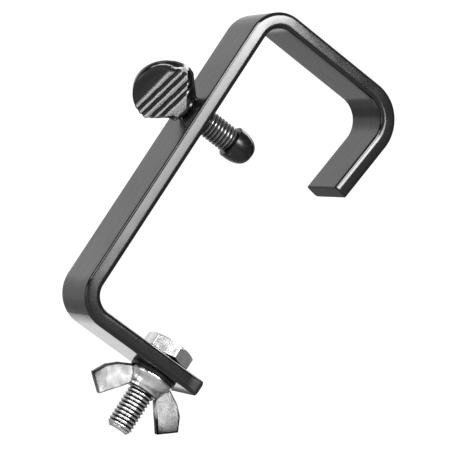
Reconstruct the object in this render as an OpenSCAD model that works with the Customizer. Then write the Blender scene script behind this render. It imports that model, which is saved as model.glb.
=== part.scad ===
// Stage hook clamp for a lighting pipe.
// A bent flat bar hooks over the pipe, a thumb screw with a swivelling tip cap traps the
// pipe in the hook, and a hex bolt with washer and wing nut holds the lamp yoke under the foot.
//
// Frame: the origin is the axis of the held pipe. +Y runs along the pipe, +Z is up and
// +X points from the spine to the lip of the hook.

/* [Pipe] */
// Outside diameter of the pipe that the hook is laid out for
pipe_d = 48.3; // [42:0.1:51]

/* [Flat bar] */
// Width of the flat bar, along the pipe
bar_w = 25; // [22:0.5:32]
// Thickness of the flat bar
bar_t = 6; // [5:0.5:8]
// Inner radius of the two bends at the ends of the spine
spine_bend_r = 7; // [5:0.5:8]
// Inner radius of the bend between the top arm and the lip
lip_bend_r = 10; // [8:0.5:12]

/* [Hook] */
// Clear width between spine and lip, measured under the top arm
hook_w = 58.6; // [57:0.2:62]
// Angle by which the lip leans in towards the spine
lip_lean = 6.5; // [4:0.5:8]
// Length of the lip's inner face, from its meeting line with the arm's underside
lip_len = 36; // [34:0.5:38]
// Clear height of the spine, from the foot's upper face to the arm's underside
spine_h = 123; // [118:1:140]

/* [Foot] */
// Length of the foot, from the spine's inner face to its end
foot_len = 53; // [52:0.5:60]
// Radius of the two rounded corners at the foot's end
foot_corner_r = 2.5; // [1:0.5:4]
// Distance of the bolt hole from the spine's inner face
bolt_from_spine = 38.4; // [36:0.2:39]
// Diameter of the clearance hole for the bolt
bolt_hole_d = 10.5; // [10.5:0.1:11]

/* [Threads] */
// Outside diameter of both threads
thread_d = 10; // [10:0.1:10]
// Diametral clearance of a thread in its tapped hole
thread_play = 0.1; // [0.06:0.02:0.18]

/* [Thumb screw] */
// Height of the thumb screw's axis below the pipe's axis
screw_drop = 19; // [18:0.1:20]
// Length of thread between the spine's inner face and the tip cap
screw_out = 14.6; // [10:0.1:16]
// Distance from the spine's outer face to the middle of the thumb plate
head_offset = 10.5; // [10.5:0.1:13]
// Radius of the thumb plate
head_r = 12.2; // [11:0.1:13]
// Thickness of the thumb plate
head_t = 6.4; // [5:0.1:7]
// Gap between the thumb screw's neck and the spine
neck_gap = 0.8; // [0.5:0.1:2]
// Turn of the thumb plate about the screw, away from upright
head_turn = 36; // [0:1:90]

/* [Tip cap] */
// Largest diameter of the tip cap
cap_d = 12.4; // [12:0.1:14]
// Length of the tip cap
cap_len = 9.4; // [9:0.1:12]

/* [Hex bolt] */
// Width across the flats of the bolt's head
hex_af = 17; // [16:0.5:17]
// Height of the bolt's head
hex_h = 6.4; // [6:0.1:7]
// Length of the bolt under its head
bolt_len = 31; // [30:0.5:35]

/* [Washer] */
// Outside diameter of the washer
washer_d = 18; // [17:0.5:20]
// Inside diameter of the washer
washer_hole_d = 10.5; // [10.4:0.1:11]
// Thickness of the washer
washer_t = 1.6; // [1.2:0.1:2]

/* [Wing nut] */
// Distance across the tips of the wings
wing_span = 40.6; // [38:0.2:44]
// Thickness of the wings
wing_t = 2.6; // [2:0.1:3]
// Diameter of the nut's seat
nut_seat_d = 17.6; // [16:0.1:18]
// Diameter of the nut's free end
nut_end_d = 12.2; // [12:0.1:14]
// Height of the nut's hub
nut_h = 6.8; // [6:0.1:9]

/* [Hidden] */
$fn = 96;

// The pipe rests against the arm's underside and the lip's inner face.
seat_z = pipe_d / 2;
lip_x = seat_z * (1 + sin(lip_lean)) / cos(lip_lean);
spine_x = lip_x - hook_w;
foot_z = seat_z - spine_h;
foot_under_z = foot_z - bar_t;
foot_end_x = spine_x + foot_len;
bolt_x = spine_x + bolt_from_spine;

// Centres of the three bends.
spine_bend_x = spine_x + spine_bend_r;
top_bend_z = seat_z - spine_bend_r;
foot_bend_z = foot_z + spine_bend_r;
lip_bend_x = (seat_z - lip_bend_r) * (1 + sin(lip_lean)) / cos(lip_lean);
lip_bend_z = seat_z - lip_bend_r;
lip_turn = 90 + lip_lean;
lip_straight = lip_len - lip_bend_r * tan(lip_turn / 2);
hair = 0.01;

// Tip cap: a spigot with a bead snaps into its blind socket.
cap_x = spine_x + screw_out;
socket_play = 0.1;
spigot_d = 6;
spigot_len = 3;
bead_d = 7.6;
bead_len = 2.4;
cap_rim_len = 2;
cap_nose_d = 4.6;
cap_seat_gap = 0.1;

// Thumb screw.
neck_d = 11;
neck_len = 3;
neck_x = spine_x - bar_t - neck_gap;
plate_x = spine_x - bar_t - head_offset;
thread_tip_x = cap_x - cap_seat_gap;

// Hex bolt: the washer face under the head lifts its corners off the foot.
face_d = 16;
face_t = 0.5;
bolt_chamfer = 1;

// Wing nut.
nut_z = foot_under_z - washer_t;
nut_flange_t = 1.2;
wing_root = thread_d / 2;

// A round rod along +X, starting at x.
module along_x(x, d, len) {
    translate([x, 0, 0]) rotate([0, 90, 0]) cylinder(d = d, h = len);
}

// One bend of the flat bar, about an axis along Y, from angle a over the given turn.
module bar_bend(x, z, r, a, turn) {
    translate([x, 0, z])
        rotate([90, 0, 0])
            rotate_extrude(start = a, angle = turn)
                translate([r, -bar_w / 2]) square([bar_t, bar_w]);
}

// A flat stretch of the bar: a box from low to high in X and Z.
module bar_flat(x0, z0, x1, z1) {
    translate([x0, -bar_w / 2, z0]) cube([x1 - x0, bar_w, z1 - z0]);
}

// The foot's end, with its two rounded corners.
module foot_end() {
    r = foot_corner_r;
    translate([foot_end_x - r, -bar_w / 2 + r, foot_under_z]) cube([r, bar_w - 2 * r, bar_t]);
    for (side = [-1, 1])
        translate([foot_end_x - r, side * (bar_w / 2 - r), foot_under_z]) cylinder(r = r, h = bar_t);
}

// The lip's straight stretch, a hair thinner all round than the bar, so that its top lies inside the bend.
module lip_plate() {
    overlap = 0.3;
    translate([lip_bend_x, 0, lip_bend_z])
        rotate([0, lip_lean, 0])
            translate([lip_bend_r + hair, -bar_w / 2 + hair, -lip_straight])
                cube([bar_t - 2 * hair, bar_w - 2 * hair, lip_straight + overlap]);
}

module bracket_bar() {
    bar_flat(spine_bend_x, foot_under_z, foot_end_x - foot_corner_r, foot_z);
    foot_end();
    bar_bend(spine_bend_x, foot_bend_z, spine_bend_r, 180, 90);
    bar_flat(spine_x - bar_t, foot_bend_z, spine_x, top_bend_z);
    bar_bend(spine_bend_x, top_bend_z, spine_bend_r, 90, 90);
    bar_flat(spine_bend_x, seat_z, lip_bend_x, seat_z + bar_t);
    bar_bend(lip_bend_x, lip_bend_z, lip_bend_r, -lip_lean, lip_turn);
    lip_plate();
}

module hook_bracket() {
    color([0.16, 0.16, 0.17])
        difference() {
            bracket_bar();
            translate([0, 0, -screw_drop])
                along_x(spine_x - bar_t - 1, thread_d + thread_play, bar_t + 2);
            translate([bolt_x, 0, foot_under_z - 1]) cylinder(d = bolt_hole_d, h = bar_t + 2);
        }
}

// Outline of the thumb plate: a round paddle that narrows in straight shoulders to the neck.
module plate_outline() {
    reach = neck_x - plate_x;
    wide = head_r + 0.4;
    intersection() {
        circle(r = head_r);
        polygon([
            [-wide, -wide], [2, -wide], [reach - 1.4, -neck_d / 2 - 0.7], [reach, -neck_d / 2],
            [reach, neck_d / 2], [reach - 1.4, neck_d / 2 + 0.7], [2, wide], [-wide, wide]
        ]);
    }
}

module thumb_plate() {
    translate([plate_x, 0, 0])
        rotate([head_turn + 90, 0, 0])
            linear_extrude(height = head_t, center = true) plate_outline();
}

module thumb_screw() {
    color([0.12, 0.12, 0.13])
        translate([0, 0, -screw_drop]) {
            thumb_plate();
            along_x(neck_x - neck_len, neck_d, neck_len);
            along_x(neck_x - 1, thread_d, thread_tip_x - neck_x + 1);
            along_x(thread_tip_x - 1, spigot_d, spigot_len + 1);
            along_x(thread_tip_x + spigot_len, bead_d, bead_len);
        }
}

// Half section of the tip cap: a straight rim, then a quarter ellipse down to a blunt nose.
module cap_section() {
    dome_len = cap_len - cap_rim_len;
    dome_r = (cap_d - cap_nose_d) / 2;
    polygon(concat(
        [[0, 0], [cap_d / 2, 0]],
        [for (i = [0 : 10]) [
            cap_nose_d / 2 + dome_r * cos(9 * i),
            cap_rim_len + dome_len * sin(9 * i)
        ]],
        [[0, cap_len]]
    ));
}

module tip_cap() {
    color([0.1, 0.1, 0.1])
        translate([0, 0, -screw_drop])
            difference() {
                translate([cap_x, 0, 0]) rotate([0, 90, 0]) rotate_extrude() cap_section();
                along_x(cap_x - 1, spigot_d + socket_play, spigot_len + 1);
                along_x(cap_x + spigot_len - 2 * cap_seat_gap, bead_d + socket_play,
                    bead_len + 2 * cap_seat_gap);
            }
}

module hex_bolt() {
    color([0.78, 0.78, 0.8])
        translate([bolt_x, 0, foot_z]) {
            translate([0, 0, face_t])
                rotate(30) cylinder(d = hex_af / cos(30), h = hex_h - face_t, $fn = 6);
            cylinder(d = face_d, h = face_t + 0.2);
            translate([0, 0, -bolt_len + bolt_chamfer]) cylinder(d = thread_d, h = bolt_len);
            translate([0, 0, -bolt_len])
                cylinder(d1 = thread_d - 2 * bolt_chamfer, d2 = thread_d, h = bolt_chamfer);
        }
}

module plain_washer() {
    color([0.14, 0.14, 0.15])
        translate([bolt_x, 0, nut_z])
            difference() {
                cylinder(d = washer_d, h = washer_t);
                translate([0, 0, -1]) cylinder(d = washer_hole_d, h = washer_t + 2);
            }
}

// One wing, drawn outwards along +X and away from the seat along -Y.
module wing_outline() {
    tip = wing_span / 2;
    polygon([
        [wing_root, -1], [nut_seat_d / 2, -0.3], [14, -3], [17.5, -6.1],
        [tip, -11.3], [tip - 6.6, -16.5],
        [10.4, -12.4], [8.2, -10], [wing_root, -nut_h + 0.6]
    ]);
}

module wing_nut() {
    color([0.8, 0.8, 0.82])
        translate([bolt_x, 0, nut_z])
            difference() {
                union() {
                    translate([0, 0, -nut_flange_t]) cylinder(d = nut_seat_d, h = nut_flange_t);
                    translate([0, 0, -nut_h])
                        cylinder(d1 = nut_end_d, d2 = nut_seat_d, h = nut_h - nut_flange_t);
                    for (turn = [0, 180])
                        rotate(turn)
                            rotate([90, 0, 0])
                                linear_extrude(height = wing_t, center = true) wing_outline();
                }
                translate([0, 0, -nut_h - 1])
                    cylinder(d = thread_d + thread_play, h = nut_h + 2);
            }
}

hook_bracket();
thumb_screw();
tip_cap();
hex_bolt();
plain_washer();
wing_nut();
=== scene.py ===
"""Looks for the stage pipe clamp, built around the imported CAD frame.

Lengths in the builders are in millimetres, in the row frame, and become metres in new_piece().
"""

import math

import bmesh
import bpy
import numpy as np
from mathutils import Matrix, Vector


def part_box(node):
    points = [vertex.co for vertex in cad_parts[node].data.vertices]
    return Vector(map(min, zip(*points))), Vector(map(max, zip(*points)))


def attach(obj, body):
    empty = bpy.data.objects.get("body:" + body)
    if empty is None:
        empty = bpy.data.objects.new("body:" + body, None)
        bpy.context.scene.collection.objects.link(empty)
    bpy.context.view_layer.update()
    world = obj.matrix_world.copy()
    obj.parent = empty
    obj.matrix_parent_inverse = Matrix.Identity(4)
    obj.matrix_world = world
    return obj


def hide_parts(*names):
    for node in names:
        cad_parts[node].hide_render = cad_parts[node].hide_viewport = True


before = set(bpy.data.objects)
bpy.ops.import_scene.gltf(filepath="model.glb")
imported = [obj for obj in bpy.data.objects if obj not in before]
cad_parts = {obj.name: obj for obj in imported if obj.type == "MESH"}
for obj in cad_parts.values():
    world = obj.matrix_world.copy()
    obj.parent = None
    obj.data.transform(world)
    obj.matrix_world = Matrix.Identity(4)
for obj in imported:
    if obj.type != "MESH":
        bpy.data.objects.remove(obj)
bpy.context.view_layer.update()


# ---------------------------------------------------------------- sizes from the CAD frame


def box_mm(node):
    """Lowest and highest corner of a CAD node, in millimetres."""
    low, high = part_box(node)
    return np.array(low) * 1000, np.array(high) * 1000


BAR_LO, BAR_HI = box_mm("hook_bracket")
SCREW_LO, SCREW_HI = box_mm("thumb_screw")
CAP_LO, CAP_HI = box_mm("tip_cap")
BOLT_LO, BOLT_HI = box_mm("hex_bolt")
WASHER_LO, WASHER_HI = box_mm("plain_washer")
NUT_LO, NUT_HI = box_mm("wing_nut")

# flat bar
BAR_W = BAR_HI[1] - BAR_LO[1]
BAR_T = 6.0
SPINE_OUT_X, SPINE_IN_X = BAR_LO[0], BAR_LO[0] + BAR_T
FOOT_UNDER_Z, FOOT_TOP_Z = BAR_LO[2], BAR_LO[2] + BAR_T
ARM_UNDER_Z = BAR_HI[2] - BAR_T
SPINE_BEND_R, LIP_BEND_R = 7.0, 10.0
LIP_LEAN = math.radians(6.5)
LIP_BEND_X = BAR_HI[0] - LIP_BEND_R - BAR_T
LIP_STRAIGHT = 24.8
FOOT_END_X = SPINE_IN_X + 53.0
FOOT_CORNER_R = 2.5
OUTER_EDGE_R, INNER_EDGE_R = 1.3, 1.6

# fasteners
PITCH = 1.5
THREAD_R = 4.99
THREAD_DEPTH = 0.92
BOLT_X = (BOLT_LO[0] + BOLT_HI[0]) / 2
SCREW_Z = (CAP_LO[2] + CAP_HI[2]) / 2
CAP_X = CAP_LO[0]
PLATE_R = 12.2
PLATE_X = SCREW_LO[0] + PLATE_R
PLATE_HALF_T = 3.2
PLATE_TURN = math.radians(36)
NECK_R = 5.5
NECK_X = SPINE_OUT_X - 0.8
NUT_SEAT_Z = NUT_HI[2]
NUT_H = 6.8
CLEAR = 0.02  # air between faces that slide on each other

ROUND = 144  # points round a turned piece, a multiple of twelve so that hex corners fall on points


# ---------------------------------------------------------------- mesh helpers


def new_piece(name, verts, faces, smooth_deg=35.0):
    """A mesh object from points in millimetres, smooth-shaded up to the given angle."""
    mesh = bpy.data.meshes.new(name)
    mesh.from_pydata([tuple(float(c) / 1000 for c in v) for v in verts], [], faces)
    mesh.validate()
    obj = bpy.data.objects.new(name, mesh)
    bpy.context.scene.collection.objects.link(obj)
    finish_shading(obj, smooth_deg)
    return obj


def finish_shading(obj, smooth_deg):
    """Outward normals, smooth faces, and sharp edges above an angle."""
    bm = bmesh.new()
    bm.from_mesh(obj.data)
    bmesh.ops.remove_doubles(bm, verts=bm.verts, dist=1e-7)
    bmesh.ops.dissolve_degenerate(bm, edges=bm.edges, dist=1e-7)
    bmesh.ops.recalc_face_normals(bm, faces=bm.faces)
    bm.to_mesh(obj.data)
    bm.free()
    obj.data.polygons.foreach_set("use_smooth", [True] * len(obj.data.polygons))
    obj.data.set_sharp_from_angle(angle=math.radians(smooth_deg))


def points_mm(obj):
    """The piece's points in millimetres, as an array."""
    flat = np.empty(len(obj.data.vertices) * 3)
    obj.data.vertices.foreach_get("co", flat)
    return flat.reshape(-1, 3) * 1000


def paint(obj, name, values):
    """Stores one number, or one vector, per point for the materials to read."""
    kind, key = ("FLOAT", "value") if values.ndim == 1 else ("FLOAT_VECTOR", "vector")
    layer = obj.data.attributes.new(name, kind, "POINT")
    layer.data.foreach_set(key, values.astype(np.float32).ravel())


def grid_faces(rows, around, closed=True):
    """Quads between consecutive rings of points."""
    span = around if closed else around - 1
    faces = []
    for i in range(rows - 1):
        for j in range(span):
            k = (j + 1) % around
            faces.append((i * around + j, i * around + k, (i + 1) * around + k, (i + 1) * around + j))
    return faces


def turned(name, rings, place, smooth_deg=35.0):
    """A closed turned piece. Each ring is (radius, height), either of them one number or one per point round.

    The first and last ring close to the axis. place turns (x, y, height) into the row frame.
    """
    angle = np.arange(ROUND) * 2 * math.pi / ROUND
    verts = []
    for radius, height in rings:
        r, h = np.broadcast_to(radius, ROUND), np.broadcast_to(height, ROUND)
        verts += [place(r[j] * math.cos(angle[j]), r[j] * math.sin(angle[j]), h[j]) for j in range(ROUND)]
    faces = grid_faces(len(rings), ROUND)
    faces.append(tuple(range(ROUND))[::-1])
    faces.append(tuple(range(len(verts) - ROUND, len(verts))))
    return new_piece(name, verts, faces, smooth_deg)


def thread_rings(start, end, start_r, end_r):
    """Rings of a right-hand thread between two heights, chamfered at 45 degrees to start_r and end_r."""
    count = int(round((end - start) / PITCH * 12))
    turn = np.arange(ROUND) / ROUND
    rings = []
    for height in np.linspace(start, end, count + 1):
        away = 1 - np.abs((height / PITCH - turn) % 1.0 - 0.5) * 2  # 0 on the crest, 1 at the root
        depth = THREAD_DEPTH * away ** 2.2
        limit = min(start_r + (height - start), end_r + (end - height))
        rings.append((np.minimum(THREAD_R - depth, limit), height))
    return rings


def thread_recess(points, centre, axes, span):
    """How deep each point lies in a thread's groove: 0 on the crest and off the thread, 1 at the root."""
    a, b, along = axes
    radius = np.hypot(points[:, a] - centre[0], points[:, b] - centre[1])
    inside = (points[:, along] > span[0]) & (points[:, along] < span[1])
    return np.clip((THREAD_R - 0.35 - radius) / 0.35, 0, 1) * inside


def along_z(x):
    return lambda a, b, h: (x + a, b, h)


def along_x(z):
    return lambda a, b, h: (h, -b, z + a)


def apply_modifiers(obj):
    """Bakes the modifiers into the mesh."""
    depsgraph = bpy.context.evaluated_depsgraph_get()
    mesh = bpy.data.meshes.new_from_object(obj.evaluated_get(depsgraph))
    obj.modifiers.clear()
    obj.data = mesh


def combine(obj, other, how):
    """Boolean of two closed pieces; the other one is used up."""
    mod = obj.modifiers.new(how, "BOOLEAN")
    mod.operation = how
    mod.solver = "EXACT"
    mod.object = other
    apply_modifiers(obj)
    bpy.data.objects.remove(other)


def soften(obj):
    """Normals weighted by face area keep the flats flat beside their rounded edges."""
    mod = obj.modifiers.new("weighted normals", "WEIGHTED_NORMAL")
    mod.keep_sharp = True
    mod.weight = 80


# ---------------------------------------------------------------- bent bar


def bar_stations():
    """Middle and outward direction of each cross-section, from the foot's end to the lip's end."""
    mid_r = SPINE_BEND_R + BAR_T / 2
    lip_r = LIP_BEND_R + BAR_T / 2
    low = np.array([SPINE_IN_X + SPINE_BEND_R, FOOT_TOP_Z + SPINE_BEND_R])
    top = np.array([SPINE_IN_X + SPINE_BEND_R, ARM_UNDER_Z - SPINE_BEND_R])
    lip = np.array([LIP_BEND_X, ARM_UNDER_Z - LIP_BEND_R])
    path = []

    def straight(a, b, out, count):
        for t in np.linspace(0, 1, count):
            path.append((a + (b - a) * t, out))

    def bend(centre, r, first, last, count):
        for t in np.linspace(math.radians(first), math.radians(last), count)[1:-1]:
            out = np.array([math.cos(t), math.sin(t)])
            path.append((centre + r * out, out))

    down, left, up = np.array([0.0, -1.0]), np.array([-1.0, 0.0]), np.array([0.0, 1.0])
    lip_out = np.array([math.cos(LIP_LEAN), -math.sin(LIP_LEAN)])
    lip_along = np.array([-math.sin(LIP_LEAN), -math.cos(LIP_LEAN)])
    foot_end = np.array([FOOT_END_X - FOOT_CORNER_R, low[1] - mid_r])
    straight(foot_end, low + mid_r * down, down, 12)
    bend(low, mid_r, 270, 180, 26)
    straight(low + mid_r * left, top + mid_r * left, left, 26)
    bend(top, mid_r, 180, 90, 26)
    straight(top + mid_r * up, lip + lip_r * up, up, 12)
    bend(lip, lip_r, 90, -math.degrees(LIP_LEAN), 30)
    lip_top = lip + lip_r * lip_out
    straight(lip_top, lip_top + lip_along * (LIP_STRAIGHT - OUTER_EDGE_R * 0.5), lip_out, 8)
    return path


def bar_section(trim, narrow, corner):
    """Outline of the bar as (outward, across) points: rounded corners and slightly crowned side faces."""
    half_t, half_w = BAR_T / 2 - trim, BAR_W / 2 - narrow
    crown, apex = 0.05, -0.9
    outer, inner = min(OUTER_EDGE_R, corner), min(INNER_EDGE_R, corner)
    half = []
    for t in np.linspace(0, 1, 5)[:-1]:
        half.append((half_t, (half_w - outer) * t))
    for a in np.linspace(0, math.pi / 2, 8):
        half.append((half_t - outer * (1 - math.cos(a)), half_w - outer * (1 - math.sin(a))))
    for t in np.linspace(0, 1, 8)[1:-1]:
        half.append((half_t - outer + (inner + outer - 2 * half_t) * t, half_w))
    for a in np.linspace(math.pi / 2, 0, 7):
        half.append((-half_t + inner * (1 - math.cos(a)), half_w - inner * (1 - math.sin(a))))
    for t in np.linspace(1, 0, 5)[1:]:
        half.append((-half_t, (half_w - inner) * t))
    half = [(u, v - crown * min(1.0, ((u - apex) / half_t) ** 2) * (v > half_w * 0.9)) for u, v in half]
    mirrored = [(u, -v) for u, v in half[-2:0:-1]]
    return half + mirrored


def bar_mesh():
    """The flat bar swept along its bends, with rounded ends."""
    stations = [(c, out, 0.0, 0.0, 9.0) for c, out in bar_stations()]
    ends = []
    first, last = stations[0], stations[-1]
    for a in np.linspace(90, 0, 9)[:-1]:
        s = math.sin(math.radians(a))
        edge = 0.9 * max(0.0, (s - 0.64) / 0.36) ** 2
        narrow = FOOT_CORNER_R * (1 - math.cos(math.radians(a)))
        c = first[0] + np.array([FOOT_CORNER_R * s, 0.0])
        ends.append((c, first[1], edge, narrow, 1.2))
    tail = []
    along = np.array([first[1][1], 0.0])
    lip_along = np.array([-math.sin(LIP_LEAN), -math.cos(LIP_LEAN)])
    for a in np.linspace(0, 90, 6)[1:]:
        r = OUTER_EDGE_R * 0.5
        inset = r * (1 - math.cos(math.radians(a)))
        c = last[0] + lip_along * r * math.sin(math.radians(a))
        tail.append((c, last[1], inset, inset, 1.2))
    stations = ends + stations + tail
    verts, count = [], 0
    for c, out, trim, narrow, corner in stations:
        section = bar_section(trim, narrow, corner)
        count = len(section)
        verts += [(c[0] + out[0] * u, v, c[1] + out[1] * u) for u, v in section]
    faces = grid_faces(len(stations), count)
    faces.append(tuple(range(count))[::-1])
    faces.append(tuple(range(len(verts) - count, len(verts))))
    return new_piece("bent_bar", verts, faces, 50.0)


def drill(radius, chamfer, low, high, place):
    """A cutter for a hole with a chamfer at both faces."""
    wide = radius + chamfer
    rings = [
        (wide + 1.0, low - 1.0), (wide, low), (radius, low + chamfer),
        (radius, high - chamfer), (wide, high), (wide + 1.0, high + 1.0),
    ]
    return turned("drill", rings, place)


def bar_grain(points):
    """Coordinates that follow the bar: distance along it, across its width, and through its thickness."""
    path = bar_stations()
    centre = np.array([c for c, _ in path])
    out = np.array([o for _, o in path])
    along = np.concatenate([[0], np.cumsum(np.linalg.norm(np.diff(centre, axis=0), axis=1))])
    flat = points[:, [0, 2]]
    near = np.argmin(((flat[:, None, :] - centre[None]) ** 2).sum(2), axis=1)
    gap = flat - centre[near]
    tangent = np.stack([out[near][:, 1], -out[near][:, 0]], axis=1)
    through = (gap * out[near]).sum(1)
    return np.stack([along[near] + (gap * tangent).sum(1), points[:, 1], through], axis=1)


def build_bar():
    bar = bar_mesh()
    combine(bar, drill(5.05, 0.35, SPINE_OUT_X, SPINE_IN_X, along_x(SCREW_Z)), "DIFFERENCE")
    combine(bar, drill(5.25, 0.35, FOOT_UNDER_Z, FOOT_TOP_Z, along_z(BOLT_X)), "DIFFERENCE")
    finish_shading(bar, 50.0)
    points = points_mm(bar)
    grain = bar_grain(points)
    paint(bar, "grain", grain / 1000)
    tip = np.array([LIP_BEND_X, ARM_UNDER_Z - LIP_BEND_R])
    down = (points[:, [0, 2]] - tip) @ np.array([-math.sin(LIP_LEAN), -math.cos(LIP_LEAN)])
    lip = (points[:, 0] > LIP_BEND_X) & (down > LIP_STRAIGHT - 0.2)
    paint(bar, "sawn", np.where(lip, 1.0, 0.0))
    broad = np.clip((BAR_W / 2 - 0.6 - np.abs(points[:, 1])) / 0.6, 0, 1)
    paint(bar, "broad", broad)
    height = points[:, 2]
    spine = np.clip((height - FOOT_UNDER_Z - 16) / 12, 0, 1) * np.clip((10 - height) / 10, 0, 1)
    paint(bar, "satin", broad * spine * (points[:, 0] < SPINE_OUT_X + 0.3))
    soften(bar)
    return bar


# ---------------------------------------------------------------- thumb screw and tip cap


def plate_reach(angle):
    """Distance from the plate's middle to its outline: a disc with straight shoulders down to the neck."""
    c, s = math.cos(angle), abs(math.sin(angle))
    end = NECK_X - PLATE_X
    a, b = np.array([2.0, PLATE_R + 0.4]), np.array([end, NECK_R])
    normal = np.array([b[1] - a[1], a[0] - b[0]])
    normal = -normal / np.linalg.norm(normal)
    reach = PLATE_R
    facing = normal[0] * c + normal[1] * s
    if facing > 1e-6:
        reach = min(reach, (a @ normal) / facing)
    if c > 1e-6:
        reach = min(reach, end / c)
    return reach


def plate_relief(s, t, angle, edge, front):
    """Height of a face above the plate's middle plane, and its wear and painted highlight: 0 coated, 1 grainy ridge
    top, over 1 a painted highlight along one edge of each ridge.

    s runs towards the neck and t up the face; the back face is the front face turned over, but shares its rim.
    """
    height = np.full_like(s, PLATE_HALF_T)
    rough = np.ones_like(s)

    # smooth dished thumb rest on the outer side, one step below the ridges
    dish = np.clip((-5.4 - s) / 0.35, 0, 1)
    hollow = np.clip((-5.4 - s) / 2.5, 0, 1) * np.clip(edge / 4.0, 0, 1)
    height -= 0.35 * dish + 0.7 * hollow
    rough *= 1 - dish
    # painted highlight: a lighter line along the dish's edge
    wear_and_glint = np.clip(1 - np.abs(s + 4.95) / 0.45, 0, 1)

    # grooves between the ridges, which fade out before the upper rim
    up = t if front else -t
    fade = np.where(up > 0, np.clip((edge - 1.0) / 1.5, 0, 1), 1.0)
    for middle in (-3.3, -0.75, 2.25, 4.65):
        past = s - middle - 0.03 * t + 0.06 * np.sin(t * 0.9 + middle)
        # painted highlight along one edge of each ridge, lighter than the ridge top
        wear_and_glint = np.maximum(wear_and_glint, np.clip(1 - np.abs(past - 1.15) / 0.4, 0, 1) * fade)
        d = np.abs(past)
        groove = np.clip(1 - d / 1.05, 0, 1)
        groove = groove * groove * (3 - 2 * groove) * fade * (s > -5.2)
        height -= 0.85 * groove
        rough *= 1 - np.clip(groove * 3.0 - 0.3, 0, 1)

    # flat ramp up to the neck
    ramp = np.clip((s - 5.9) / 3.8, 0, 1)
    neck = np.sqrt(np.clip(NECK_R ** 2 - t ** 2, 0, None))
    height = np.where(s > 5.9, np.maximum(height, np.minimum(PLATE_HALF_T + 1.1 * ramp, neck)), height)

    # shoulders cut away beside the neck, more on the upper side
    above = np.clip((s - 1.4) * 0.788 + (up - 10.1) * 0.616 - (0 if front else 1.0), 0, None)
    below = np.clip((s - 1.9) * 0.724 - (up + 10.4) * 0.69, 0, None) * np.clip((9.0 - s) / 2, 0, 1)
    height -= 1.15 * above + 1.4 * below
    rough *= 1 - np.clip((above + below) / 0.3, 0, 1)

    # rim: well rounded on the outer and upper side, bevelled at the top, nearly square at the bottom
    rim = 0.5 + 2.4 * np.clip(np.cos(angle - 2.4), 0, None) ** 0.8
    inset = np.clip(rim - edge, 0, None)
    bevel = np.clip((np.cos(angle - 1.25) - 0.7) / 0.2, 0, 1)
    bevel = bevel * bevel * (3 - 2 * bevel)
    height -= 0.69 * bevel * inset + (1 - bevel) * (rim - np.sqrt(rim ** 2 - inset ** 2))
    rough *= np.clip((edge - 0.75 * rim) / (0.3 * rim), 0, 1)
    return np.maximum(height, 0.6), rough * (1 + 0.6 * wear_and_glint)


def build_plate():
    """The flat ribbed paddle of the thumb screw: two faces, each the other turned over, that meet at the rim."""
    around, rings = 360, 84
    c, s = math.cos(PLATE_TURN), math.sin(PLATE_TURN)
    normal, across = np.array([0, -c, -s]), np.array([0, -s, c])
    middle = np.array([PLATE_X, 0, SCREW_Z])
    angle = np.arange(around) * 2 * math.pi / around
    reach = np.array([plate_reach(a if a < math.pi else a - 2 * math.pi) for a in angle])
    share = 1 - (1 - np.linspace(0, 1, rings)) ** 1.3
    r = share[:, None] * reach[None]
    turn = np.broadcast_to(angle, r.shape)
    sides = []
    for side in (1, -1):
        s_t = (r * np.cos(turn), r * np.sin(turn) * side)
        height, _ = plate_relief(*s_t, turn, reach[None] - r, side == 1)
        a, b = (r * np.cos(turn))[..., None], (r * np.sin(turn))[..., None]
        sides.append(middle + a * np.array([1, 0, 0]) + b * across + side * height[..., None] * normal)
    verts = np.concatenate([sides[0].reshape(-1, 3), sides[1][::-1].reshape(-1, 3)])
    faces = grid_faces(2 * rings, around)
    return new_piece("thumb_plate", verts, faces, 40.0)


def plate_wear_and_glint(points):
    """The rough ridge tops of the plate's two faces, and the painted highlight along one edge of each, found again
    after the pieces are joined.
    """
    c, s = math.cos(PLATE_TURN), math.sin(PLATE_TURN)
    local = points - np.array([PLATE_X, 0, SCREW_Z])
    along, across = local[:, 0], local @ np.array([0, -s, c])
    height = local @ np.array([0, -c, -s])
    turn = np.arctan2(across, along) % (2 * math.pi)
    reach = np.array([plate_reach(a if a < math.pi else a - 2 * math.pi) for a in turn])
    edge = reach - np.hypot(along, across)
    result = np.zeros(len(points))
    for side in (1, -1):
        relief, rough = plate_relief(along, across * side, turn, np.maximum(edge, 0), side == 1)
        on_face = np.clip(1 - np.abs(height * side - relief) / 0.2, 0, 1)
        result = np.maximum(result, rough * on_face)
    return result * (along < NECK_X - PLATE_X - 0.15)


def build_thumb_screw():
    tip = CAP_X - 0.1
    start = NECK_X + 0.3
    rings = [
        (0.0, NECK_X - 1.2), (NECK_R - 0.5, NECK_X - 1.2), (NECK_R - 0.1, NECK_X - 1.05), (NECK_R, NECK_X - 0.8),
        (NECK_R, NECK_X - 0.4), (NECK_R - 0.4, NECK_X), (4.4, NECK_X), (4.1, NECK_X + 0.3),
    ]
    rings += thread_rings(start, tip, 4.1, 4.1)
    rings += [(3.0, tip), (3.0, tip + 3), (3.8, tip + 3), (3.8, tip + 5.2), (3.6, tip + 5.4), (0.0, tip + 5.4)]
    screw = turned("thumb_screw_body", rings, along_x(SCREW_Z), 40.0)
    combine(screw, build_plate(), "UNION")
    finish_shading(screw, 40.0)
    points = points_mm(screw)
    # rough ridge tops as wear, and over 1 a painted highlight along one edge of each ridge
    paint(screw, "rough", plate_wear_and_glint(points))
    # painted shade: the thread's groove is painted darker; the crests are bare metal
    painted_shade = thread_recess(points, (0, SCREW_Z), (1, 2, 0), (start + 0.2, tip - 0.1))
    paint(screw, "painted_shade", painted_shade)
    paint(screw, "crest", (points[:, 0] > start + 1.5) * np.clip(1 - 2.5 * painted_shade, 0, 1))
    return screw


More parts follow.
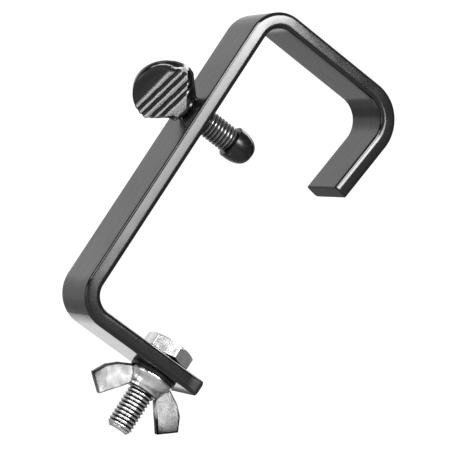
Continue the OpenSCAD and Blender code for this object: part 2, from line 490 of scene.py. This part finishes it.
def build_tip_cap():
    """Blunt moulded cap with a snap socket at the back."""
    length = CAP_HI[0] - CAP_LO[0]
    radius = (CAP_HI[2] - CAP_LO[2]) / 2
    rim, nose_r = 2.0, 2.3
    rings = [(0.0, CAP_X + 5.6), (3.85, CAP_X + 5.6), (3.85, CAP_X + 2.8), (3.05, CAP_X + 2.8), (3.05, CAP_X + 0.3)]
    rings += [(3.35, CAP_X), (radius - 0.45, CAP_X)]
    rings += [(radius - 0.45 + 0.45 * math.sin(a), CAP_X + 0.45 * (1 - math.cos(a)))
              for a in np.linspace(0.3, math.pi / 2, 5)]
    for a in np.linspace(0, math.pi / 2, 22):
        rings.append((nose_r + (radius - nose_r) * math.cos(a), CAP_X + rim + (length - rim) * math.sin(a)))
    rings.append((nose_r * 0.5, CAP_HI[0]))
    rings.append((0.0, CAP_HI[0]))
    return turned("tip_cap_moulding", rings, along_x(SCREW_Z), 40.0)


# ---------------------------------------------------------------- bolt, washer, wing nut


def hex_radius(flats, corner):
    """Distance from the axis to a hexagon with flats facing +X, its corners rounded off at a radius."""
    angle = np.arange(ROUND) * 2 * math.pi / ROUND
    off = (angle + math.pi / 6) % (math.pi / 3) - math.pi / 6
    return np.minimum(flats / 2 / np.cos(off), corner)


def build_hex_bolt():
    head = BOLT_HI[2] - FOOT_TOP_Z
    flat_top = 7.9
    hexagon = hex_radius(17.0, 9.66)
    slope = math.tan(math.radians(30))
    top = FOOT_TOP_Z + head - np.maximum(0, hexagon - flat_top) * slope
    low = FOOT_TOP_Z + 0.5 + np.maximum(0, hexagon - flat_top) * slope * 0.8
    rings = [
        (0.0, FOOT_TOP_Z + head - 0.15), (4.6, FOOT_TOP_Z + head - 0.15), (5.4, FOOT_TOP_Z + head),
        (flat_top - 0.2, FOOT_TOP_Z + head), (flat_top, FOOT_TOP_Z + head - 0.05),
        (hexagon - 0.1, top + 0.03), (hexagon, top - 0.1), (hexagon, low + 0.1), (hexagon - 0.1, low - 0.03),
        (7.95, FOOT_TOP_Z + 0.5), (7.9, FOOT_TOP_Z + 0.1), (7.8, FOOT_TOP_Z + CLEAR), (5.2, FOOT_TOP_Z + CLEAR),
        (4.6, FOOT_TOP_Z - 0.6), (4.2, FOOT_TOP_Z - 1.2),
    ]
    body = thread_rings(BOLT_LO[2] + 0.95, FOOT_TOP_Z - 1.3, 4.2, 4.1)
    rings += body[::-1]
    rings += [(4.15, BOLT_LO[2] + 0.8), (3.55, BOLT_LO[2] + 0.12), (3.4, BOLT_LO[2]), (0.0, BOLT_LO[2])]
    bolt = turned("hex_bolt_m10", rings, along_z(BOLT_X), 32.0)
    span = (BOLT_LO[2] + 1.5, FOOT_TOP_Z - 1.5)
    # painted shade: the thread's groove is painted darker
    paint(bolt, "painted_shade", thread_recess(points_mm(bolt), (BOLT_X, 0), (0, 1, 2), span) ** 1.6)
    soften(bolt)
    return bolt


def build_washer():
    inner, outer = 5.25, (WASHER_HI[0] - WASHER_LO[0]) / 2
    low, high = WASHER_LO[2], WASHER_HI[2] - CLEAR
    outline = [
        (inner, low + 0.15), (inner + 0.15, low), (outer - 0.35, low), (outer - 0.1, low + 0.12),
        (outer, low + 0.4), (outer, high - 0.12), (outer - 0.12, high), (inner + 0.3, high), (inner, high - 0.25),
    ]
    angle = np.arange(ROUND) * 2 * math.pi / ROUND
    verts = [(BOLT_X + r * math.cos(t), r * math.sin(t), h) for r, h in outline + outline[:1] for t in angle]
    washer = new_piece("steel_washer", verts, grid_faces(len(outline) + 1, ROUND), 40.0)
    paint(washer, "grain", points_mm(washer) / 1000)
    paint(washer, "broad", np.ones(len(washer.data.vertices)))
    return washer


def wing_outline():
    """One wing in the XZ plane from the nut's axis, with its heights below the seat."""
    tip = (NUT_HI[0] - NUT_LO[0]) / 2
    return [
        (5.6, -1.0), (8.8, -0.4), (14.0, -3.0), (17.5, -6.1), (tip, -11.3),
        (tip - 6.6, -16.5), (10.4, -12.4), (8.2, -10.0), (5.6, -NUT_H + 0.4),
    ]


def build_wing(side, half_t):
    """A flat wing with softened edges, and a narrow strip of faces inside its outline."""
    outline = wing_outline()
    count = len(outline)
    verts = []
    for face in (-1, 1):
        for r, h in outline:
            verts.append((BOLT_X + side * r, face * half_t, NUT_SEAT_Z + h))
    faces = [tuple(range(count)), tuple(range(2 * count - 1, count - 1, -1))]
    faces += [(i, (i + 1) % count, (i + 1) % count + count, i + count) for i in range(count)]
    wing = new_piece("wing", verts, faces)
    bm = bmesh.new()
    bm.from_mesh(wing.data)
    bmesh.ops.bevel(bm, geom=bm.edges[:], offset=0.00028, segments=3, profile=0.5, affect="EDGES")
    broad = sorted(bm.faces, key=lambda f: f.calc_area())[-2:]
    for width in (0.0004, 0.0002):
        bmesh.ops.inset_individual(bm, faces=broad, thickness=width)
    bm.to_mesh(wing.data)
    bm.free()
    return wing


def wing_edge_shade(points):
    """Painted shade on the wing nut: wide along the upper edge of one wing and the inner edge of the other, thin
    along every wing edge, and full at the hub's lower end round the bore.
    """
    radial, height = points[:, 0] - BOLT_X, points[:, 2] - NUT_SEAT_Z
    corners = wing_outline()
    result = np.zeros(len(points))
    for side, chain in ((-1, corners[1:5]), (1, corners[5:]), (1, corners[3:5])):
        for (r1, h1), (r2, h2) in zip(chain, chain[1:]):
            along, down = r2 - r1, h2 - h1
            share = np.clip(((radial * side - r1) * along + (height - h1) * down) / (along ** 2 + down ** 2), 0, 1)
            gap = np.hypot(radial * side - r1 - share * along, height - h1 - share * down)
            result = np.maximum(result, np.clip((0.88 - gap) / 0.18, 0, 1))
    outline = corners + corners[:1]
    for (r1, h1), (r2, h2) in zip(outline, outline[1:]):
        along, down = r2 - r1, h2 - h1
        share = np.clip(((np.abs(radial) - r1) * along + (height - h1) * down) / (along ** 2 + down ** 2), 0, 1)
        gap = np.hypot(np.abs(radial) - r1 - share * along, height - h1 - share * down)
        result = np.maximum(result, 0.6 * np.clip((0.45 - gap) / 0.1, 0, 1))
    result *= np.abs(radial) > 8.5
    # painted shade at the hub's lower end, where it meets the bolt
    end = (height < 0.35 - NUT_H) & (np.hypot(radial, points[:, 1]) < 6.4)
    return np.where(end, 1.0, result)


def build_wing_nut():
    """A conical hub with a flange at the seat, two wings that leave it in a crisp fold, and the bore."""
    seat = NUT_SEAT_Z - CLEAR
    rings = [
        (0.0, seat), (8.35, seat), (8.7, seat - 0.12), (8.8, seat - 0.4), (8.8, seat - 0.9), (8.65, seat - 1.25),
        (8.25, seat - 1.8), (7.6, seat - 2.5), (7.15, seat - 3.3), (6.85, seat - 4.2), (6.65, seat - 5.2),
        (6.5, seat - NUT_H + 0.6), (6.3, seat - NUT_H + 0.25), (6.0, seat - NUT_H),
        (0.0, seat - NUT_H),
    ]
    nut = turned("wing_nut_casting", rings, along_z(BOLT_X))
    for side in (-1, 1):
        combine(nut, build_wing(side, 1.3), "UNION")
    cutter = drill(5.05, 0.5, seat - NUT_H, seat, along_z(BOLT_X))
    combine(nut, cutter, "DIFFERENCE")
    finish_shading(nut, 35.0)
    # painted shade along the wing edges and at the hub's lower end
    paint(nut, "painted_shade", wing_edge_shade(points_mm(nut)))
    soften(nut)
    return nut


# ---------------------------------------------------------------- materials


def material(name):
    mat = bpy.data.materials.new(name)
    mat.use_nodes = True
    nodes = mat.node_tree.nodes
    return mat, nodes, mat.node_tree.links, nodes["Principled BSDF"]


def noise_on(nodes, links, vector, scale, stretch=(1, 1, 1), detail=4.0, rough=0.55):
    """Noise over the given coordinates."""
    mapping = nodes.new("ShaderNodeMapping")
    mapping.inputs["Scale"].default_value = stretch
    noise = nodes.new("ShaderNodeTexNoise")
    noise.inputs["Scale"].default_value = scale
    noise.inputs["Detail"].default_value = detail
    noise.inputs["Roughness"].default_value = rough
    links.new(vector, mapping.inputs["Vector"])
    links.new(mapping.outputs["Vector"], noise.inputs["Vector"])
    return noise.outputs["Fac"]


def object_noise(nodes, links, scale, stretch=(1, 1, 1), detail=4.0, rough=0.55):
    """Noise in the object's own metres."""
    coords = nodes.new("ShaderNodeTexCoord")
    return noise_on(nodes, links, coords.outputs["Object"], scale, stretch, detail, rough)


def spread(nodes, links, value, low, high, from_low=0.3, from_high=0.7):
    """Maps a value's middle range to low..high."""
    node = nodes.new("ShaderNodeMapRange")
    node.inputs["From Min"].default_value = from_low
    node.inputs["From Max"].default_value = from_high
    node.inputs["To Min"].default_value = low
    node.inputs["To Max"].default_value = high
    links.new(value, node.inputs["Value"])
    return node.outputs["Result"]


def blend_colour(nodes, links, value, a, b):
    node = nodes.new("ShaderNodeMix")
    node.data_type = "RGBA"
    node.inputs["A"].default_value = (*a, 1)
    node.inputs["B"].default_value = (*b, 1)
    links.new(value, node.inputs["Factor"])
    return node.outputs["Result"]


def blend_between(nodes, links, value, a, b, low, high):
    """Blends two colours over the part of a value's range between low and high."""
    return blend_colour(nodes, links, spread(nodes, links, value, 0.0, 1.0, low, high), a, b)


def add_bump(nodes, links, shader, value, distance, strength=1.0, under=None):
    node = nodes.new("ShaderNodeBump")
    node.inputs["Strength"].default_value = strength
    node.inputs["Distance"].default_value = distance
    links.new(value, node.inputs["Height"])
    if under is not None:
        links.new(under, node.inputs["Normal"])
    links.new(node.outputs["Normal"], shader.inputs["Normal"])
    return node.outputs["Normal"]


def attribute(nodes, name):
    node = nodes.new("ShaderNodeAttribute")
    node.attribute_name = name
    return node


def black_bar_material(name="black_bar", rough=(0.10, 0.14)):
    """Black-finished steel: long fine streaks from rolling, soft mottling, and rough sawn ends."""
    mat, nodes, links, shader = material(name)
    grain = attribute(nodes, "grain").outputs["Vector"]
    streak = noise_on(nodes, links, grain, 1.0, (90, 2600, 2600), 3.0)
    cloud = noise_on(nodes, links, grain, 1.0, (130, 220, 220), 2.0)
    sawn = attribute(nodes, "sawn").outputs["Fac"]
    links.new(blend_colour(nodes, links, streak, (0.003, 0.003, 0.003), (0.007, 0.007, 0.007)),
              shader.inputs["Base Color"])
    broad = nodes.new("ShaderNodeMath")
    broad.operation = "MULTIPLY"
    links.new(attribute(nodes, "broad").outputs["Fac"], broad.inputs[0])
    links.new(streak, broad.inputs[1])
    polish = spread(nodes, links, cloud, *rough)
    satin = nodes.new("ShaderNodeMapRange")
    links.new(attribute(nodes, "satin").outputs["Fac"], satin.inputs["Value"])
    links.new(polish, satin.inputs["To Min"])
    satin.inputs["To Max"].default_value = 0.27
    ends = nodes.new("ShaderNodeMapRange")
    links.new(sawn, ends.inputs["Value"])
    links.new(satin.outputs["Result"], ends.inputs["To Min"])
    ends.inputs["To Max"].default_value = 0.55
    links.new(ends.outputs["Result"], shader.inputs["Roughness"])
    drawn = noise_on(nodes, links, grain, 1.0, (45, 1000, 1000), 3.0, 0.7)
    sheen = nodes.new("ShaderNodeMapRange")
    links.new(attribute(nodes, "broad").outputs["Fac"], sheen.inputs["Value"])
    sheen.inputs["To Min"].default_value = 0.5
    links.new(spread(nodes, links, drawn, 0.38, 0.66, 0.35, 0.65), sheen.inputs["To Max"])
    links.new(sheen.outputs["Result"], shader.inputs["Specular IOR Level"])
    fine = add_bump(nodes, links, shader, broad.outputs[0], 0.000015)
    add_bump(nodes, links, shader, cloud, 0.000015, under=fine)
    return mat


def black_screw_material():
    """Black-finished casting: glossy where smooth, with grainy grey wear on the ridge tops and a painted highlight
    along one edge of each, and painted shade in the thread's groove.
    """
    mat, nodes, links, shader = material("black_screw")
    grain = object_noise(nodes, links, 2600, detail=2.0)
    patch = object_noise(nodes, links, 500, detail=2.0)
    rough = attribute(nodes, "rough").outputs["Fac"]
    painted_shade = attribute(nodes, "painted_shade").outputs["Fac"]
    crest = attribute(nodes, "crest").outputs["Fac"]
    # painted shade: the coat is a little darker deeper in the thread's groove
    coat = blend_colour(nodes, links, painted_shade, (0.005, 0.005, 0.005), (0.002, 0.002, 0.002))
    bare = nodes.new("ShaderNodeMix")
    bare.data_type = "RGBA"
    links.new(crest, bare.inputs["Factor"])
    links.new(coat, bare.inputs["A"])
    bare.inputs["B"].default_value = (0.22, 0.22, 0.22, 1)
    links.new(spread(nodes, links, crest, 0.0, 0.8, 0.0, 1.0), shader.inputs["Metallic"])
    wear_and_glint = blend_between(nodes, links, grain, (0.07, 0.07, 0.07), (0.30, 0.30, 0.30), 0.35, 0.65)
    # painted highlight: a lighter grey along one edge of each ridge
    edge_highlight = nodes.new("ShaderNodeMix")
    edge_highlight.data_type = "RGBA"
    links.new(spread(nodes, links, rough, 0.0, 1.0, 1.05, 1.55), edge_highlight.inputs["Factor"])
    links.new(wear_and_glint, edge_highlight.inputs["A"])
    edge_highlight.inputs["B"].default_value = (0.34, 0.34, 0.34, 1)
    both = nodes.new("ShaderNodeMix")
    both.data_type = "RGBA"
    links.new(rough, both.inputs["Factor"])
    links.new(bare.outputs["Result"], both.inputs["A"])
    links.new(edge_highlight.outputs["Result"], both.inputs["B"])
    links.new(both.outputs["Result"], shader.inputs["Base Color"])
    dull = nodes.new("ShaderNodeMapRange")
    links.new(crest, dull.inputs["Value"])
    links.new(spread(nodes, links, patch, 0.10, 0.16), dull.inputs["To Min"])
    dull.inputs["To Max"].default_value = 0.2
    polish = dull.outputs["Result"]
    gloss = nodes.new("ShaderNodeMapRange")
    links.new(rough, gloss.inputs["Value"])
    links.new(polish, gloss.inputs["To Min"])
    gloss.inputs["To Max"].default_value = 0.5
    links.new(gloss.outputs["Result"], shader.inputs["Roughness"])
    tall = nodes.new("ShaderNodeMath")
    tall.operation = "MULTIPLY"
    links.new(grain, tall.inputs[0])
    links.new(rough, tall.inputs[1])
    coarse = add_bump(nodes, links, shader, tall.outputs[0], 0.00012)
    add_bump(nodes, links, shader, patch, 0.000006, under=coarse)
    return mat


def cap_material():
    """Black moulded plastic, satin, with a faint grain."""
    mat, nodes, links, shader = material("black_cap")
    grain = object_noise(nodes, links, 1500, detail=2.0)
    links.new(blend_colour(nodes, links, grain, (0.003, 0.003, 0.003), (0.006, 0.006, 0.006)),
              shader.inputs["Base Color"])
    links.new(spread(nodes, links, grain, 0.22, 0.28), shader.inputs["Roughness"])
    add_bump(nodes, links, shader, grain, 0.0000006)
    return mat


def zinc_material():
    """Bright zinc plate: cloudy brightness, fine drawn scratches, and painted shade: darker base colour in the
    thread's groove, along the wing edges, at the hub's end and in concave folds.
    """
    mat, nodes, links, shader = material("bright_zinc")
    cloud = object_noise(nodes, links, 320, detail=3.0)
    scratch = object_noise(nodes, links, 1.0, (700, 2200, 4200), 2.0)
    painted_shade = attribute(nodes, "painted_shade").outputs["Fac"]
    shader.inputs["Metallic"].default_value = 1.0
    bright = blend_between(nodes, links, cloud, (0.58, 0.58, 0.58), (0.80, 0.80, 0.80), 0.35, 0.65)
    # painted shade: ambient occlusion darkens the base colour in concave folds and thread grooves
    fold = nodes.new("ShaderNodeAmbientOcclusion")
    fold.inputs["Distance"].default_value = 0.0012
    fold.samples = 8
    shade_mask = nodes.new("ShaderNodeMath")
    shade_mask.operation = "MAXIMUM"
    links.new(painted_shade, shade_mask.inputs[0])
    links.new(spread(nodes, links, fold.outputs["AO"], 0.9, 0.0, 0.4, 0.88), shade_mask.inputs[1])
    both = nodes.new("ShaderNodeMix")
    both.data_type = "RGBA"
    links.new(shade_mask.outputs[0], both.inputs["Factor"])
    links.new(bright, both.inputs["A"])
    both.inputs["B"].default_value = (0.010, 0.010, 0.010, 1)
    links.new(both.outputs["Result"], shader.inputs["Base Color"])
    links.new(spread(nodes, links, cloud, 0.15, 0.21), shader.inputs["Roughness"])
    fine = add_bump(nodes, links, shader, scratch, 0.000004)
    add_bump(nodes, links, shader, cloud, 0.000004, under=fine)
    return mat


def dress(obj, mat):
    obj.data.materials.clear()
    obj.data.materials.append(mat)


# ---------------------------------------------------------------- studio


def plane(name, size, centre, facing):
    """A flat square panel."""
    half = size / 2
    corners = [(-half, -half, 0), (half, -half, 0), (half, half, 0), (-half, half, 0)]
    mesh = bpy.data.meshes.new(name)
    mesh.from_pydata(corners, [], [(0, 1, 2, 3)])
    obj = bpy.data.objects.new(name, mesh)
    obj.location = centre
    obj.rotation_euler = Vector(facing).to_track_quat("Z", "Y").to_euler()
    bpy.context.scene.collection.objects.link(obj)
    return obj


def build_floor():
    """A pale sheet under the part; the room's backdrop shows beyond its far edge."""
    floor = plane("floor", 2.6, (0, -0.5, -0.42), (0, 0, 1))
    mat, nodes, links, shader = material("pale_floor")
    shader.inputs["Base Color"].default_value = (0.35, 0.35, 0.35, 1)
    shader.inputs["Roughness"].default_value = 0.8
    dress(floor, mat)


def softbox(name, centre, aim, width, height, radiance):
    """A rectangular area light that faces a point, with the given radiance."""
    light = bpy.data.lights.new(name, "AREA")
    light.shape = "RECTANGLE"
    light.size, light.size_y = width, height
    light.energy = radiance * math.pi * width * height
    obj = bpy.data.objects.new(name, light)
    obj.location = centre
    obj.rotation_euler = (Vector(aim) - Vector(centre)).to_track_quat("-Z", "Y").to_euler()
    obj.visible_camera = False
    bpy.context.scene.collection.objects.link(obj)
    return obj


def build_lights():
    """A wide softbox in four rows, brighter towards its top, with a dim panel under it and a low card behind.

    The bar's side faces mirror the softbox's right edge, and the foot's underside mirrors the card.
    """
    right, left = 0.395, -0.58
    rows = [(0.125, 0.20, 9.5), (0.20, 0.29, 10.8), (0.29, 0.36, 14.0), (0.36, 0.60, 25.0)]
    for i, (low, high, radiance) in enumerate(rows):
        centre = ((right + left) / 2, -1.2, (low + high) / 2)
        softbox(f"key_{i + 1}", centre, (centre[0], 0, centre[2]), right - left, high - low, radiance)
    softbox("left_low", (-1.4, -1.1, 0.08), (0, 0, 0), 1.1, 0.36, 0.35)
    softbox("left_far", (-1.65, -0.55, 0.25), (0, 0, 0), 0.5, 0.5, 8.0)
    softbox("left_high", (-1.4, -1.1, 0.70), (0, 0, 0), 1.1, 0.5, 14.0)
    softbox("left_floor", (-0.50, -0.12, -0.38), (0, 0, -0.1), 0.3, 0.3, 1.6)
    softbox("under_key", (-0.35, -1.25, -0.02), (-0.35, 0, -0.02), 1.9, 0.25, 0.3)
    softbox("right_fill", (1.3, -0.25, 0.15), (0, 0, 0), 0.9, 0.9, 0.16)
    softbox("low_card", (0.105, 0.25, -0.1625), (0.105, 0, -0.1625), 0.2, 0.075, 0.8)
    softbox("top_back", (0.42, 0.44, 1.05), (0, 0, 0), 0.6, 0.6, 5.0)


def grey_ramp(nodes, links, value, stops):
    """Brightness along a direction's component, from (component, brightness) pairs."""
    node = nodes.new("ShaderNodeValToRGB")
    elements = node.color_ramp.elements
    while len(elements) < len(stops):
        elements.new(0.5)
    for element, (place, grey) in zip(elements, stops):
        element.position = (place + 1) / 2
        element.color = (grey, grey, grey, 1)
    links.new(spread(nodes, links, value, 0.0, 1.0, -1.0, 1.0), node.inputs["Fac"])
    return node.outputs["Color"]


def build_world():
    """A studio: pale backdrop behind the part, dark at both sides, dim behind the camera."""
    world = bpy.data.worlds.new("studio")
    bpy.context.scene.world = world
    world.use_nodes = True
    nodes, links = world.node_tree.nodes, world.node_tree.links
    nodes.clear()
    out = nodes.new("ShaderNodeOutputWorld")
    room = nodes.new("ShaderNodeBackground")
    back = nodes.new("ShaderNodeBackground")
    mix = nodes.new("ShaderNodeMixShader")
    ray = nodes.new("ShaderNodeLightPath")
    coords = nodes.new("ShaderNodeTexCoord")
    split = nodes.new("ShaderNodeSeparateXYZ")
    both = nodes.new("ShaderNodeMix")
    both.data_type = "RGBA"
    links.new(coords.outputs["Generated"], split.inputs[0])
    near = grey_ramp(nodes, links, split.outputs["Y"], [(-0.9, 0.32), (-0.7, 0.20), (-0.4, 0.10), (0.3, 0.10)])
    far = grey_ramp(nodes, links, split.outputs["Z"], [
        (-0.36, 0.26), (-0.28, 0.58), (-0.16, 0.66), (0.0, 0.82), (0.12, 1.0), (0.22, 0.98), (0.33, 0.84), (0.6, 0.6),
    ])
    links.new(spread(nodes, links, split.outputs["Y"], 0.0, 1.0, 0.3, 0.55), both.inputs["Factor"])
    links.new(near, both.inputs["A"])
    links.new(far, both.inputs["B"])
    links.new(both.outputs["Result"], room.inputs["Color"])
    back.inputs["Strength"].default_value = 1.1
    back.inputs["Color"].default_value = (1, 1, 1, 1)
    links.new(ray.outputs["Is Camera Ray"], mix.inputs[0])
    links.new(room.outputs[0], mix.inputs[1])
    links.new(back.outputs[0], mix.inputs[2])
    links.new(mix.outputs[0], out.inputs[0])


def build_camera():
    """A long lens from below and to the left, rolled so that the spine leans over to the right."""
    target = Vector((-0.00083, 0.0, -0.04526))
    azimuth, elevation, distance = math.radians(-20.838), math.radians(-12.147), 0.916
    back = Vector((math.sin(azimuth) * math.cos(elevation), -math.cos(azimuth) * math.cos(elevation),
                   math.sin(elevation)))
    data = bpy.data.cameras.new("camera")
    data.sensor_width, data.lens = 36.0, 200.0
    data.clip_start, data.clip_end = 0.01, 50.0
    camera = bpy.data.objects.new("camera", data)
    roll = Matrix.Rotation(math.radians(32.757), 4, "Z")
    level = (-back).to_track_quat("-Z", "Y").to_matrix().to_4x4()
    camera.matrix_world = Matrix.Translation(target + back * distance) @ level @ roll
    bpy.context.scene.collection.objects.link(camera)
    bpy.context.scene.camera = camera


# ---------------------------------------------------------------- assembly


def assemble():
    black, screw, cap, zinc = (black_bar_material(), black_screw_material(), cap_material(), zinc_material())
    dull = black_bar_material("black_washer", (0.30, 0.38))
    pieces = [
        (build_bar(), "bracket", "hook_bracket", "black_bar", black),
        (build_thumb_screw(), "thumb", "thumb_screw", "black_screw", screw),
        (build_tip_cap(), "cap", "tip_cap", "black_cap", cap),
        (build_hex_bolt(), "bolt", "hex_bolt", "bright_zinc", zinc),
        (build_washer(), "washer", "plain_washer", "black_washer", dull),
        (build_wing_nut(), "nut", "wing_nut", "bright_zinc", zinc),
    ]
    for obj, body, node, slot, mat in pieces:
        dress(obj, mat)
        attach(obj, body)
        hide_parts(node)


bpy.context.scene.view_settings.view_transform = "Standard"
build_camera()
build_floor()
build_lights()
build_world()
assemble()
